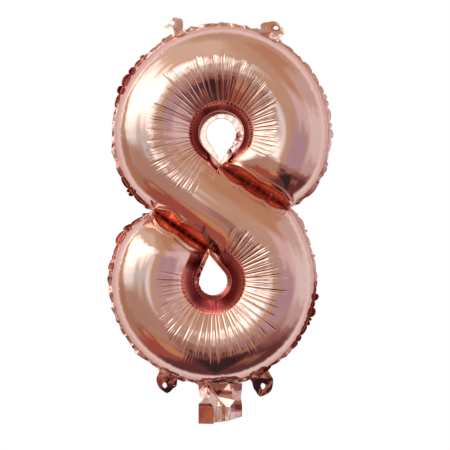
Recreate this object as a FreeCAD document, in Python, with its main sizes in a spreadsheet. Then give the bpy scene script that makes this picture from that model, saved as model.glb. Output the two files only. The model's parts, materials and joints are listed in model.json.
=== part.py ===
import FreeCAD, Part
import Sketcher
import math
import os

# A foil number balloon, the figure 8, air-filled and hanging by its two top tabs.
# Two metallised films are heat-sealed round the outline, round the two holes of the figure and
# along two waist welds, so the air chamber is one S-shaped tube that ends against the welds.
# X is to the right, Z is up and the front faces -Y. The films meet in the plane Y = 0. The origin
# is midway between the punched holes of the two top tabs, where the balloon hangs.

Vector = FreeCAD.Vector
document = FreeCAD.newDocument("number_balloon")

# ---- driving dimensions, millimetres and degrees ----

SIZES = [
    ("film_thickness", 0.45, "stand-in for a film 0.045 thick"),
    ("seal_thickness", 0.5, "two films melted together, stand-in thickness"),
    ("upper_drop", 104.5, "upper loop centre below the hanging line"),
    ("upper_radius", 101.0, "outside of the inflated upper loop"),
    ("upper_hole_radius", 20.7, "seal line round the hole of the upper loop"),
    ("upper_hole_tip", 30.0, "from the hole's centre down to its pointed tip"),
    ("upper_free_radius", 14.2, "free film edge inside the upper hole"),
    ("upper_free_tip", 26.0, "from the hole's centre to the free edge's tip"),
    ("lower_shift", -7.7, "lower loop centre to the side of the upper one"),
    ("lower_drop", 243.0, "lower loop centre below the hanging line"),
    ("lower_radius", 95.5, "outside of the inflated lower loop"),
    ("lower_hole_radius", 17.0, "seal line round the hole of the lower loop"),
    ("lower_hole_tip", 30.5, "from the hole's centre up to its pointed tip"),
    ("lower_free_radius", 13.2, "free film edge inside the lower hole"),
    ("lower_free_tip", 25.0, "from the hole's centre to the free edge's tip"),
    ("loop_depth", 32.0, "half the thickness of an inflated loop"),
    ("diagonal_depth", 34.0, "half the thickness of the diagonal"),
    ("end_length", 33.0, "over which a loop's end closes down to its weld"),
    ("right_notch_x", 63.7, "waist notch on the right"),
    ("right_notch_drop", 174.4, "right notch below the hanging line"),
    ("left_notch_x", -63.2, "waist notch on the left"),
    ("left_notch_drop", 177.2, "left notch below the hanging line"),
    ("weld_width", 3.0, "width of a waist weld"),
    ("margin", 4.5, "sealed margin outside the inflated outline"),
    ("tab_width", 18.0, "hanging tab across its root"),
    ("tab_length", 15.0, "hanging tab from root to tip"),
    ("tab_hole_radius", 2.0, "punched hole for a ribbon"),
    ("tab_hole_rise", 8.2, "hole centre from the root"),
    ("tab_angle", 25.5, "tabs either side of the vertical"),
    ("neck_shift", 6.8, "filling neck to the side of the lower loop's centre"),
    ("neck_width", 40.0, "filling neck"),
    ("neck_length", 34.4, "filling neck below its hinge line"),
    ("neck_side_seal", 3.0, "sealed sides of the neck"),
    ("neck_root_gap", 0.3, "half the opening at the root"),
    ("neck_mouth_gap", 4.5, "half the opening at the mouth"),
    ("valve_width", 15.0, "clear valve strips"),
    ("valve_length", 62.0, "clear valve strips above the hinge line"),
    ("valve_thickness", 0.4, "stand-in for a strip 0.04 thick"),
    ("valve_slot", 16.0, "unsealed channel through the margin"),
    ("valve_slot_rise", 18.0, "unsealed channel, from the hinge line up past the margin"),
    ("hinge_clearance", 0.3, "from a hinge line to the sealed margin"),
    ("flap_clearance", 0.6, "from a hinge line to the flap beyond it"),
]

sheet = document.addObject("Spreadsheet::Sheet", "Sizes")
for row, (alias, number, note) in enumerate(SIZES, start=1):
    sheet.set("A%d" % row, alias)
    sheet.set("B%d" % row, str(number))
    sheet.set("C%d" % row, note)
    sheet.setAlias("B%d" % row, alias)
document.recompute()


def size(alias):
    return float(getattr(sheet, alias))


# ---- the figure's key places, all in the plane Y = 0 ----

upper_centre = Vector(0, 0, -size("upper_drop"))
lower_centre = Vector(size("lower_shift"), 0, -size("lower_drop"))
right_notch = Vector(size("right_notch_x"), 0, -size("right_notch_drop"))
left_notch = Vector(size("left_notch_x"), 0, -size("left_notch_drop"))
UPPER_TIP_ANGLE = -90.0
LOWER_TIP_ANGLE = 98.0
NOTCH_REACH = 14.0
OUTLINE_STEPS = 48
LONG_CUT = 200.0


def towards(angle):
    """Unit vector in the figure's plane, counter-clockwise from +X."""
    return Vector(math.cos(math.radians(angle)), 0, math.sin(math.radians(angle)))


def angle_of(point, centre):
    return math.degrees(math.atan2(point.z - centre.z, point.x - centre.x))


upper_tip = upper_centre + towards(UPPER_TIP_ANGLE) * size("upper_hole_tip")
lower_tip = lower_centre + towards(LOWER_TIP_ANGLE) * size("lower_hole_tip")


def angle_apart(first, second):
    return abs((first - second + 180.0) % 360.0 - 180.0)


def hole_edge(centre, radius, tip_length, tip_angle, angle):
    """A point on a teardrop: a circle with two straight sides that run to its tip."""
    tangent_angle = math.degrees(math.acos(radius / tip_length))
    off_tip = angle_apart(angle, tip_angle)
    straight = math.cos(math.radians(max(0.0, tangent_angle - off_tip)))
    return centre + towards(angle) * (radius / straight)


def upper_hole(angle):
    return hole_edge(upper_centre, size("upper_hole_radius"), size("upper_hole_tip"), UPPER_TIP_ANGLE, angle)


def lower_hole(angle):
    return hole_edge(lower_centre, size("lower_hole_radius"), size("lower_hole_tip"), LOWER_TIP_ANGLE, angle)


def loop_edge(centre, radius, angle):
    """A point on a loop's outside: a circle that is drawn to the notches at either side of the waist."""
    reach = radius
    for notch in (right_notch, left_notch):
        pull = (notch - centre).Length - radius
        off_notch = angle_apart(angle, angle_of(notch, centre)) / NOTCH_REACH
        reach += pull * math.exp(-off_notch * off_notch)
    return centre + towards(angle) * reach


def upper_edge(angle):
    return loop_edge(upper_centre, size("upper_radius"), angle)


def lower_edge(angle):
    return loop_edge(lower_centre, size("lower_radius"), angle)


def between(start, end, share):
    return start + (end - start) * share


# ---- stations: cross-lines of the S-shaped tube, from its upper end to its lower end ----
# Each one is (a point on the left-hand edge, a point on the right-hand edge), walking from the
# upper loop's end over the top, down the diagonal and round the bottom to the lower loop's end.

END_STATIONS = 7
LOOP_STATIONS = 12
END_CROWDING = 1.6
FAN_FADE = 2
WELD_FADE = 3
DIAGONAL_STATIONS = 4
UPPER_RADIAL_START = 25.0
LOWER_RADIAL_END = -155.0

weld_step = size("weld_width") / 2
right_weld_normal = (right_notch - upper_tip).cross(Vector(0, 1, 0)).normalize()
left_weld_normal = (lower_tip - left_notch).cross(Vector(0, 1, 0)).normalize()
if right_weld_normal.z < 0:
    right_weld_normal = -right_weld_normal
if left_weld_normal.z < 0:
    left_weld_normal = -left_weld_normal


def upper_stations():
    """The upper loop: it fans from the right weld to radial lines, then runs round to the left notch."""
    notch_angle = angle_of(right_notch, upper_centre)
    stations = []
    for step in range(END_STATIONS):
        share = (step / END_STATIONS) ** END_CROWDING
        outer_angle = notch_angle + (UPPER_RADIAL_START - notch_angle) * share
        inner_lag = (UPPER_TIP_ANGLE - notch_angle) * (1.0 - share) ** FAN_FADE
        lift = right_weld_normal * (weld_step * (1.0 - share) ** WELD_FADE)
        stations.append((upper_edge(outer_angle) + lift, upper_hole(outer_angle + inner_lag) + lift))
    last_angle = angle_of(left_notch, upper_centre) + 360.0
    for step in range(LOOP_STATIONS):
        angle = UPPER_RADIAL_START + (last_angle - UPPER_RADIAL_START) * step / LOOP_STATIONS
        stations.append((upper_edge(angle), upper_hole(angle)))
    return stations


def diagonal_stations():
    """The diagonal: left notch to lower hole on one side, upper hole to right notch on the other."""
    from_angle = angle_of(left_notch, upper_centre) + 360.0
    to_angle = angle_of(right_notch, lower_centre)
    left_start = left_notch + left_weld_normal * weld_step
    left_end = lower_tip + left_weld_normal * weld_step
    right_start = upper_tip - right_weld_normal * weld_step
    right_end = right_notch - right_weld_normal * weld_step
    stations = []
    for step in range(DIAGONAL_STATIONS):
        share = step / DIAGONAL_STATIONS
        angle = from_angle + (UPPER_TIP_ANGLE + 360.0 - from_angle) * share
        stations.append((between(left_start, left_end, share / 2), upper_hole(angle)))
    for step in range(DIAGONAL_STATIONS):
        share = step / DIAGONAL_STATIONS
        left_point = between(left_start, left_end, 0.5 + share / 2)
        stations.append((left_point, between(right_start, right_end, share / 2)))
    for step in range(DIAGONAL_STATIONS):
        share = step / DIAGONAL_STATIONS
        angle = LOWER_TIP_ANGLE + (to_angle - LOWER_TIP_ANGLE) * share
        stations.append((lower_hole(angle), between(right_start, right_end, 0.5 + share / 2)))
    return stations


def lower_stations():
    """The lower loop: radial lines from the right notch round the bottom, then a fan to the left weld."""
    first_angle = angle_of(right_notch, lower_centre)
    stations = []
    for step in range(LOOP_STATIONS):
        angle = first_angle + (LOWER_RADIAL_END - first_angle) * step / LOOP_STATIONS
        stations.append((lower_hole(angle), lower_edge(angle)))
    notch_angle = angle_of(left_notch, lower_centre) - 360.0
    for step in range(END_STATIONS + 1):
        share = 1.0 - (1.0 - step / END_STATIONS) ** END_CROWDING
        outer_angle = LOWER_RADIAL_END + (notch_angle - LOWER_RADIAL_END) * share
        inner_lead = (LOWER_TIP_ANGLE - 360.0 - notch_angle) * share ** FAN_FADE
        drop = left_weld_normal * (-weld_step * share ** WELD_FADE)
        stations.append((lower_hole(outer_angle + inner_lead) + drop, lower_edge(outer_angle) + drop))
    return stations


stations = upper_stations() + diagonal_stations() + lower_stations()


def middle(station):
    return between(station[0], station[1], 0.5)


def distance_along(line, first, last):
    """Length of the tube's centre line between two stations."""
    return sum((middle(line[i + 1]) - middle(line[i])).Length for i in range(first, last))


CLOSED_DEPTH = 1.3
SWELL_REACH = 0.2


def half_depth(index):
    """Half the tube's thickness at a station: loop, swelling to the diagonal, closing at both ends."""
    from_start = distance_along(stations, 0, index)
    to_end = distance_along(stations, index, len(stations) - 1)
    to_waist = abs(from_start - to_end) / (from_start + to_end)
    swell = math.exp(-(to_waist / SWELL_REACH) ** 2)
    full = size("loop_depth") + (size("diagonal_depth") - size("loop_depth")) * swell
    near_end = min(1.0, min(from_start, to_end) / size("end_length"))
    return CLOSED_DEPTH + (full - CLOSED_DEPTH) * math.sqrt(1.0 - (1.0 - near_end) ** 2)


# ---- the two films ----

ARC_POINTS = 11


def half_ellipse(station, depth, inset):
    """Points over half an ellipse, from the left-hand edge over the crown to the right-hand edge."""
    across = (station[0] - station[1]) * 0.5
    across -= Vector(across).normalize() * inset
    crown = Vector(0, depth - inset, 0)
    points = []
    for step in range(ARC_POINTS):
        turn = math.pi * step / (ARC_POINTS - 1)
        points.append(middle(station) + across * math.cos(turn) + crown * math.sin(turn))
    return points


def skin(inset):
    """The smooth surface through every station's half ellipse, moved inwards by inset."""
    surface = Part.BSplineSurface()
    surface.interpolate([half_ellipse(station, half_depth(i), inset) for i, station in enumerate(stations)])
    return surface


def borders(surface):
    """The four edges of a skin: its two seams and its two ends."""
    first_u, last_u, first_v, last_v = surface.bounds()
    curves = [surface.vIso(first_v), surface.vIso(last_v), surface.uIso(first_u), surface.uIso(last_u)]
    return [curve.toShape() for curve in curves]


def film_solid():
    """One film: an outer and an inner skin, joined by the seam faces that meet the other film."""
    outer = skin(0.0)
    inner = skin(size("film_thickness"))
    faces = [outer.toShape(), inner.toShape()]
    for outer_edge, inner_edge in zip(borders(outer), borders(inner)):
        faces.append(Part.makeRuledSurface(outer_edge, inner_edge))
    shell = Part.makeShell(faces)
    shell.sewShape()
    return Part.makeSolid(shell)


def film(label, shape):
    piece = document.addObject("Part::Feature", label)
    piece.Label = label
    piece.Shape = shape
    piece.Placement = FreeCAD.Placement()
    return piece


back_shape = film_solid()
front_shape = back_shape.mirror(Vector(0, 0, 0), Vector(0, 1, 0))
parts = [film("front_film", front_shape), film("back_film", back_shape)]

# ---- the waist welds ----


def box(name, length_rule, width_rule, height_rule):
    piece = document.addObject("Part::Box", name)
    piece.setExpression("Length", length_rule)
    piece.setExpression("Width", width_rule)
    piece.setExpression("Height", height_rule)
    return piece


def strip_along(name, start, run, length_rule, height_rule, height):
    """A flat strip of seal thickness, centred on the line that leaves start along run."""
    strip = box(name, length_rule, "Sizes.seal_thickness", height_rule)
    slope = math.degrees(math.atan2(run.z, run.x))
    turned = FreeCAD.Rotation(Vector(0, 1, 0), -slope)
    corner = Vector(0, -size("seal_thickness") / 2, -height / 2)
    strip.Placement = FreeCAD.Placement(start + turned.multVec(corner), turned)
    return strip


def weld(label, start, end, length_rule):
    """A strip of both films melted together, from start to end."""
    strip = strip_along(label, start, end - start, length_rule, "Sizes.weld_width", size("weld_width"))
    strip.Label = label
    return strip


weld_lengths = (("upper_weld_length", right_notch - upper_tip), ("lower_weld_length", lower_tip - left_notch))
for row, (alias, run) in enumerate(weld_lengths, start=len(SIZES) + 1):
    sheet.set("A%d" % row, alias)
    sheet.set("B%d" % row, str(round(run.Length, 3)))
    sheet.setAlias("B%d" % row, alias)
document.recompute()
upper_weld = weld("upper_waist_weld", upper_tip, right_notch, "Sizes.upper_weld_length")
lower_weld = weld("lower_waist_weld", left_notch, lower_tip, "Sizes.lower_weld_length")
parts += [upper_weld, lower_weld]


# ---- the outer seal: each loop's outline widened by the margin, less the inflated outline ----


def margin_plate(name, edge):
    """A loop's outline widened by the margin, as a plate of seal thickness about Y = 0."""
    points = []
    for step in range(2 * OUTLINE_STEPS):
        angle = 180.0 * step / OUTLINE_STEPS
        points.append(edge(angle) + towards(angle) * size("margin"))
    curve = Part.BSplineCurve()
    curve.interpolate(Points=points, PeriodicFlag=True)
    face = Part.Face(Part.Wire([curve.toShape()]))
    plate = document.addObject("Part::Feature", name)
    plate.Shape = face.extrude(Vector(0, size("seal_thickness"), 0))
    plate.Placement = FreeCAD.Placement(Vector(0, -size("seal_thickness") / 2, 0), FreeCAD.Rotation())
    return plate


def outline_prism(name):
    """The inflated outline as a solid: notch to notch round each loop, as smooth curves."""
    curves = []
    for edge, centre, start, end in (
        (upper_edge, upper_centre, right_notch, left_notch),
        (lower_edge, lower_centre, left_notch, right_notch),
    ):
        first = angle_of(start, centre)
        sweep = (angle_of(end, centre) - first) % 360.0
        points = [edge(first + sweep * step / OUTLINE_STEPS) for step in range(OUTLINE_STEPS + 1)]
        curve = Part.BSplineCurve()
        curve.interpolate(points)
        curves.append(curve.toShape())
    face = Part.Face(Part.Wire(curves))
    prism = document.addObject("Part::Feature", name)
    prism.Shape = face.extrude(Vector(0, LONG_CUT, 0))
    prism.Placement = FreeCAD.Placement(Vector(0, -LONG_CUT / 2, 0), FreeCAD.Rotation())
    return prism


plates = document.addObject("Part::Fuse", "plates")
plates.Base = margin_plate("upper_plate", upper_edge)
plates.Tool = margin_plate("lower_plate", lower_edge)

channel = box("channel", "Sizes.valve_slot", "2 * Sizes.seal_thickness", "Sizes.valve_slot_rise")
neck_hinge_drop = size("lower_drop") + size("lower_radius") + size("margin") + size("hinge_clearance")
neck_hinge = Vector(lower_centre.x + size("neck_shift"), 0, -neck_hinge_drop)
channel.Placement = FreeCAD.Placement(
    neck_hinge + Vector(-size("valve_slot") / 2, -size("seal_thickness"), 0), FreeCAD.Rotation()
)

seal_cuts = document.addObject("Part::MultiFuse", "seal_cuts")
inflated_outline = outline_prism("inflated_outline")
seal_cuts.Shapes = [inflated_outline, channel, upper_weld, lower_weld]
outer_seal = document.addObject("Part::Cut", "outer_seal")
outer_seal.Label = "outer_seal"
outer_seal.Base = plates
outer_seal.Tool = seal_cuts
parts.append(outer_seal)

# ---- sketched pieces ----

def origin_plane(body, role):
    for feature in body.Origin.OriginFeatures:
        if feature.Role == role:
            return feature
    raise RuntimeError("no plane " + role)


def sketch_on(body, name, role):
    sketch = body.newObject("Sketcher::SketchObject", name)
    sketch.AttachmentSupport = (origin_plane(body, role), "")
    sketch.MapMode = "FlatFace"
    return sketch


def bind(sketch, name, constraint, rule):
    """Adds a named constraint and ties it to the sheet."""
    index = sketch.addConstraint(constraint)
    sketch.renameConstraint(index, name)
    sketch.setExpression("Constraints." + name, rule)


def pad_midplane(body, sketch, name):
    pad = body.newObject("PartDesign::Pad", name)
    pad.Profile = sketch
    pad.Midplane = True
    pad.setExpression("Length", "Sizes.seal_thickness")
    body.Tip = pad
    return pad


def new_body(label, place, turned):
    body = document.addObject("PartDesign::Body", label)
    body.Label = label
    body.Placement = FreeCAD.Placement(place, turned)
    return body


def teardrop(sketch, radius, tip, prefix, radius_rule, tip_rule):
    """A closed teardrop with its tip up: an arc about the origin and two tangent straight sides."""
    off_axis = math.acos(radius / tip)
    right_end = Vector(radius * math.sin(off_axis), radius * math.cos(off_axis), 0)
    left_end = Vector(-right_end.x, right_end.y, 0)
    point = Vector(0, tip, 0)
    arc = sketch.addGeometry(Part.Arc(left_end, Vector(0, -radius, 0), right_end), False)
    right_side = sketch.addGeometry(Part.LineSegment(right_end, point), False)
    left_side = sketch.addGeometry(Part.LineSegment(point, left_end), False)
    sketch.addConstraint(Sketcher.Constraint("Coincident", arc, 3, -1, 1))
    sketch.addConstraint(Sketcher.Constraint("Tangent", arc, 2, right_side, 1))
    sketch.addConstraint(Sketcher.Constraint("Coincident", right_side, 2, left_side, 1))
    sketch.addConstraint(Sketcher.Constraint("Tangent", left_side, 2, arc, 1))
    sketch.addConstraint(Sketcher.Constraint("PointOnObject", right_side, 2, -2))
    bind(sketch, prefix + "_radius", Sketcher.Constraint("Radius", arc, radius), radius_rule)
    bind(sketch, prefix + "_tip", Sketcher.Constraint("DistanceY", -1, 1, right_side, 2, tip), tip_rule)


def hole_seal(label, centre, tip_angle, loop):
    """The flat margin round a hole, from the seal line in to the film's free edge."""
    turned = FreeCAD.Rotation(Vector(0, 1, 0), 90.0 - tip_angle)
    body = new_body(label, centre, turned)
    sketch = sketch_on(body, label + "_outline", "XZ_Plane")
    for line in ("hole", "free"):
        radius_name = "%s_%s_radius" % (loop, line)
        tip_name = "%s_%s_tip" % (loop, line)
        names = ("Sizes." + radius_name, "Sizes." + tip_name)
        teardrop(sketch, size(radius_name), size(tip_name), line, names[0], names[1])
    pad_midplane(body, sketch, label + "_pad")
    return body


parts.append(hole_seal("upper_hole_seal", upper_centre, UPPER_TIP_ANGLE, "upper"))
parts.append(hole_seal("lower_hole_seal", lower_centre, LOWER_TIP_ANGLE, "lower"))


def tab(label, centre, radius, angle):
    """A hanging tab beyond its hinge line: straight sides, a round end and a punched hole."""
    turned = FreeCAD.Rotation(Vector(0, 1, 0), 90.0 - angle)
    root = centre + towards(angle) * (radius + size("margin") + size("hinge_clearance"))
    body = new_body(label, root, turned)
    sketch = sketch_on(body, label + "_outline", "XZ_Plane")
    half = size("tab_width") / 2
    foot = size("flap_clearance")
    shoulder = size("tab_length") - half + foot
    base = sketch.addGeometry(Part.LineSegment(Vector(-half, foot, 0), Vector(half, foot, 0)), False)
    right = sketch.addGeometry(Part.LineSegment(Vector(half, foot, 0), Vector(half, shoulder, 0)), False)
    end = sketch.addGeometry(
        Part.Arc(Vector(half, shoulder, 0), Vector(0, shoulder + half, 0), Vector(-half, shoulder, 0)), False
    )
    left = sketch.addGeometry(Part.LineSegment(Vector(-half, shoulder, 0), Vector(-half, foot, 0)), False)
    rise = size("tab_hole_rise")
    punched = Part.Circle(Vector(0, rise, 0), Vector(0, 0, 1), size("tab_hole_radius"))
    hole = sketch.addGeometry(punched, False)
    sketch.addConstraint(Sketcher.Constraint("Coincident", base, 2, right, 1))
    sketch.addConstraint(Sketcher.Constraint("Vertical", right))
    sketch.addConstraint(Sketcher.Constraint("Tangent", right, 2, end, 1))
    sketch.addConstraint(Sketcher.Constraint("Tangent", end, 2, left, 1))
    sketch.addConstraint(Sketcher.Constraint("Coincident", left, 2, base, 1))
    sketch.addConstraint(Sketcher.Constraint("Symmetric", base, 1, base, 2, -2))
    sketch.addConstraint(Sketcher.Constraint("Vertical", left))
    sketch.addConstraint(Sketcher.Constraint("PointOnObject", hole, 3, -2))
    bind(sketch, "width", Sketcher.Constraint("DistanceX", base, 1, base, 2, 2 * half), "Sizes.tab_width")
    bind(sketch, "foot", Sketcher.Constraint("DistanceY", -1, 1, base, 1, foot), "Sizes.flap_clearance")
    straight_rule = "Sizes.tab_length - Sizes.tab_width / 2"
    straight = Sketcher.Constraint("DistanceY", right, 1, right, 2, shoulder - foot)
    bind(sketch, "straight", straight, straight_rule)
    hole_radius = Sketcher.Constraint("Radius", hole, size("tab_hole_radius"))
    bind(sketch, "hole_radius", hole_radius, "Sizes.tab_hole_radius")
    bind(sketch, "hole_rise", Sketcher.Constraint("DistanceY", -1, 1, hole, 3, rise), "Sizes.tab_hole_rise")
    pad_midplane(body, sketch, label + "_pad")
    return body


lean = size("tab_angle")
parts.append(tab("top_left_tab", upper_centre, size("upper_radius"), 90.0 + lean))
parts.append(tab("top_right_tab", upper_centre, size("upper_radius"), 90.0 - lean))
parts.append(tab("bottom_left_tab", lower_centre, size("lower_radius"), 270.0 - lean))
parts.append(tab("bottom_right_tab", lower_centre, size("lower_radius"), 270.0 + lean))


# ---- the filling neck: an open sleeve of two plies, sealed along both sides ----

def ply_section(sketch, gap_name):
    """Flat side seals with a bulge between them, one film thick; the sleeve opens towards +Y."""
    half = size("neck_width") / 2
    inner = half - size("neck_side_seal")
    wall = size("film_thickness")
    gap = size(gap_name)
    outer_left = Vector(-half, -wall, 0)
    outer_right = Vector(half, -wall, 0)
    bulge_left = Vector(-inner, -wall, 0)
    bulge_right = Vector(inner, -wall, 0)
    sketch.addGeometry(Part.LineSegment(Vector(-half, 0, 0), outer_left), False)
    sketch.addGeometry(Part.LineSegment(outer_left, bulge_left), False)
    sketch.addGeometry(Part.Arc(bulge_left, Vector(0, -wall - gap, 0), bulge_right), False)
    sketch.addGeometry(Part.LineSegment(bulge_right, outer_right), False)
    sketch.addGeometry(Part.LineSegment(outer_right, Vector(half, 0, 0)), False)
    sketch.addGeometry(Part.LineSegment(Vector(half, 0, 0), Vector(inner, 0, 0)), False)
    sketch.addGeometry(Part.Arc(Vector(inner, 0, 0), Vector(0, -gap, 0), Vector(-inner, 0, 0)), False)
    sketch.addGeometry(Part.LineSegment(Vector(-inner, 0, 0), Vector(-half, 0, 0)), False)
    for side in (0, 1, 2, 3, 4, 7):
        sketch.addConstraint(Sketcher.Constraint("Coincident", side, 2, (side + 1) % 8, 1))
    sketch.addConstraint(Sketcher.Constraint("Coincident", 5, 2, 6, 2))
    sketch.addConstraint(Sketcher.Constraint("Coincident", 6, 1, 7, 1))
    for level in (1, 3, 5, 7):
        sketch.addConstraint(Sketcher.Constraint("Horizontal", level))
    for upright in (0, 4):
        sketch.addConstraint(Sketcher.Constraint("Vertical", upright))
    sketch.addConstraint(Sketcher.Constraint("Symmetric", 0, 1, 4, 2, -1, 1))
    bind(sketch, "width", Sketcher.Constraint("DistanceX", 0, 1, 4, 2, 2 * half), "Sizes.neck_width")
    bind(sketch, "wall_left", Sketcher.Constraint("DistanceY", 0, 2, 0, 1, wall), "Sizes.film_thickness")
    bind(sketch, "wall_right", Sketcher.Constraint("DistanceY", 4, 1, 4, 2, wall), "Sizes.film_thickness")
    arc_rule = "((Sizes.neck_width / 2 - Sizes.neck_side_seal)^2 + Sizes.%s^2) / (2 * Sizes.%s)"
    arc_radius = (inner * inner + gap * gap) / (2 * gap)
    for name, side in (("outer_arc", 2), ("inner_arc", 6)):
        bind(sketch, name, Sketcher.Constraint("Radius", side, arc_radius), arc_rule % (gap_name, gap_name))
    seal = size("neck_side_seal")
    for name, side in (("seal_left", 1), ("seal_right", 3)):
        bind(sketch, name, Sketcher.Constraint("DistanceX", side, 1, side, 2, seal), "Sizes.neck_side_seal")
    bind(sketch, "seal_inside", Sketcher.Constraint("DistanceX", 5, 2, 5, 1, seal), "Sizes.neck_side_seal")


def neck_ply(label, turn):
    """One ply of the neck, lofted from its nearly flat root to its open mouth."""
    body = new_body(label, neck_hinge, FreeCAD.Rotation(Vector(0, 0, 1), turn))
    root = sketch_on(body, label + "_root", "XY_Plane")
    root.AttachmentOffset = FreeCAD.Placement(Vector(0, 0, -size("flap_clearance")), FreeCAD.Rotation())
    mouth = sketch_on(body, label + "_mouth", "XY_Plane")
    mouth.AttachmentOffset = FreeCAD.Placement(Vector(0, 0, -size("neck_length")), FreeCAD.Rotation())
    ply_section(root, "neck_root_gap")
    ply_section(mouth, "neck_mouth_gap")
    loft = body.newObject("PartDesign::AdditiveLoft", label + "_loft")
    loft.Profile = root
    loft.Sections = [mouth]
    loft.Ruled = True
    body.Tip = loft
    return body


parts.append(neck_ply("neck_front_ply", 0.0))
parts.append(neck_ply("neck_back_ply", 180.0))


# ---- the valve: two clear strips that air pressure presses together ----

def valve_ply(label, near_side):
    """A strip from the hinge line up through the margin's channel into the air chamber."""
    strip = box(label, "Sizes.valve_width", "Sizes.valve_thickness", "Sizes.valve_length")
    strip.Label = label
    foot = neck_hinge + Vector(-size("valve_width") / 2, near_side, size("hinge_clearance"))
    strip.Placement = FreeCAD.Placement(foot, FreeCAD.Rotation())
    return strip


parts.append(valve_ply("valve_front_ply", -size("valve_thickness")))
parts.append(valve_ply("valve_back_ply", 0.0))

# ---- checks and output ----

document.recompute()
for item in document.Objects:
    if "Invalid" in item.State or "Error" in item.State:
        raise RuntimeError("%s failed: %s" % (item.Name, item.State))
os.makedirs("parts", exist_ok=True)
for piece in parts:
    shape = piece.Shape
    if shape.isNull() or not shape.isValid() or not shape.Solids:
        raise RuntimeError("%s is not a valid solid" % piece.Label)
    box_size = shape.BoundBox
    print("%-18s solids %d volume %9.1f mm3 box %.1f x %.1f x %.1f" % (
        piece.Label, len(shape.Solids), shape.Volume, box_size.XLength, box_size.YLength, box_size.ZLength
    ))
    shape.exportStep(os.path.join("parts", piece.Label + ".step"))
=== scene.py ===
import json
import math
from functools import partial

import bpy
import numpy as np
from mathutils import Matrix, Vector
from mathutils.geometry import delaunay_2d_cdt


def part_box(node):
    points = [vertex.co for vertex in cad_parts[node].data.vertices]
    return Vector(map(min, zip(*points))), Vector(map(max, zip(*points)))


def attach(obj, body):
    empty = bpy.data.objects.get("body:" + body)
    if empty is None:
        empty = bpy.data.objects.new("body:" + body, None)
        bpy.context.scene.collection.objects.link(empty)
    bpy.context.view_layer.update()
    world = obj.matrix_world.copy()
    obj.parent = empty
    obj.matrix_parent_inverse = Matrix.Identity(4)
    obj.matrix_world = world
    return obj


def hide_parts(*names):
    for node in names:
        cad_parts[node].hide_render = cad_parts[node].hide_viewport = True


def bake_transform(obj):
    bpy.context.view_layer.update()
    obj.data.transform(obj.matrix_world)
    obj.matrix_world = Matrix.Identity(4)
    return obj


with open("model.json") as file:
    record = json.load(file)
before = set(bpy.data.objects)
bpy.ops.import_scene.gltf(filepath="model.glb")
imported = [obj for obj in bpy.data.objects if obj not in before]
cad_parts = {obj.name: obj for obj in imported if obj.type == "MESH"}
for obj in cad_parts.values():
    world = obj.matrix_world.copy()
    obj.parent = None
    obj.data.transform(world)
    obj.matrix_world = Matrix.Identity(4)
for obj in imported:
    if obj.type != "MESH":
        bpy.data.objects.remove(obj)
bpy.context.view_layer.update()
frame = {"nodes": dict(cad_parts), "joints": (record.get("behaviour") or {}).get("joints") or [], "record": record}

MM = 0.001
record = frame["record"]

# Everything below is in millimetres in the figure's plane (x to the right, z up), with y as depth
# (the front is negative y), and becomes metres only when a mesh is made.


# ---- places, most read from the imported model ----

def corners(node):
    low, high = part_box(node)
    return np.array(low) / MM, np.array(high) / MM


def named(rows, name):
    return next(row for row in rows if row["name"] == name)


def opening_centre(name):
    low, high = np.array(named(record["physics"]["openings"], name)["box_m"])
    return ((low + high) / 2)[[0, 2]] / MM


def hinge(name):
    return np.array(named(frame["joints"], name)["pos_m"]) / MM


def node_points(node):
    mesh = frame["nodes"][node].data
    co = np.zeros(len(mesh.vertices) * 3)
    mesh.vertices.foreach_get("co", co)
    return co.reshape(-1, 3) / MM


def strip_end(node, side):
    """Middle of a weld strip's end; side 1 is its right-hand end, -1 its left-hand end."""
    points = node_points(node)
    reach = points[:, 0] * side
    end = points[reach > reach.max() - 2.0]
    return end.mean(0)[[0, 2]]


film_low, film_high = corners("front_film")
U = opening_centre("upper_hole")
L = opening_centre("lower_hole")
R_UPPER = film_high[2] - U[1]
R_LOWER = L[1] - film_low[2]
DEPTH = film_high[1] - film_low[1]
upper_seal_low, upper_seal_high = corners("upper_hole_seal")
lower_seal_low, lower_seal_high = corners("lower_hole_seal")
LOWER_TIP_ANGLE = 98.0
UPPER_TIP_ANGLE = -90.0
R_UPPER_HOLE = (upper_seal_high[0] - upper_seal_low[0]) / 2
R_LOWER_HOLE = (lower_seal_high[0] - lower_seal_low[0]) / 2
UPPER_TIP = U[1] - upper_seal_low[2]
LOWER_TIP = (lower_seal_high[2] - L[1]) / math.cos(math.radians(LOWER_TIP_ANGLE - 90.0))
RIGHT_NOTCH = strip_end("upper_waist_weld", 1)
LEFT_NOTCH = strip_end("lower_waist_weld", -1)
# The free film edges inside the holes, and the sealed margin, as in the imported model.
UPPER_FREE, UPPER_FREE_TIP = 14.2, 26.0
LOWER_FREE, LOWER_FREE_TIP = 13.2, 25.0
MARGIN = 4.5
WELD_STEP = 0.45
WELD_HALF = 1.5
LOOP_DEPTH = DEPTH - 2.0
END_LENGTH = 33.0
CREST_SHIFT = 0.06
# The funnel round each hole: its width, and the rise of its wall.
UPPER_WALL, LOWER_WALL, UPPER_SLOPE, LOWER_SLOPE = 8.6, 13.4, 1.0, 1.12


# ---- small tools ----

def smooth(low, high, x):
    t = np.clip((x - low) / (high - low), 0.0, 1.0)
    return t * t * (3.0 - 2.0 * t)


def hump(rise_from, rise_to, fall_from, fall_to, x):
    """Rises smoothly from 0 to 1 and falls back to 0 as x grows."""
    return smooth(rise_from, rise_to, x) * (1.0 - smooth(fall_from, fall_to, x))


def bell(x):
    return np.exp(-x ** 2)


def plateau(x):
    return np.exp(-x ** 4)


def towards(angle):
    a = np.radians(angle)
    return np.stack([np.cos(a), np.sin(a)], -1)


def angle_of(point, centre):
    return math.degrees(math.atan2(point[1] - centre[1], point[0] - centre[0]))


def apart(a, b):
    return np.abs((a - b + 180.0) % 360.0 - 180.0)


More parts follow.
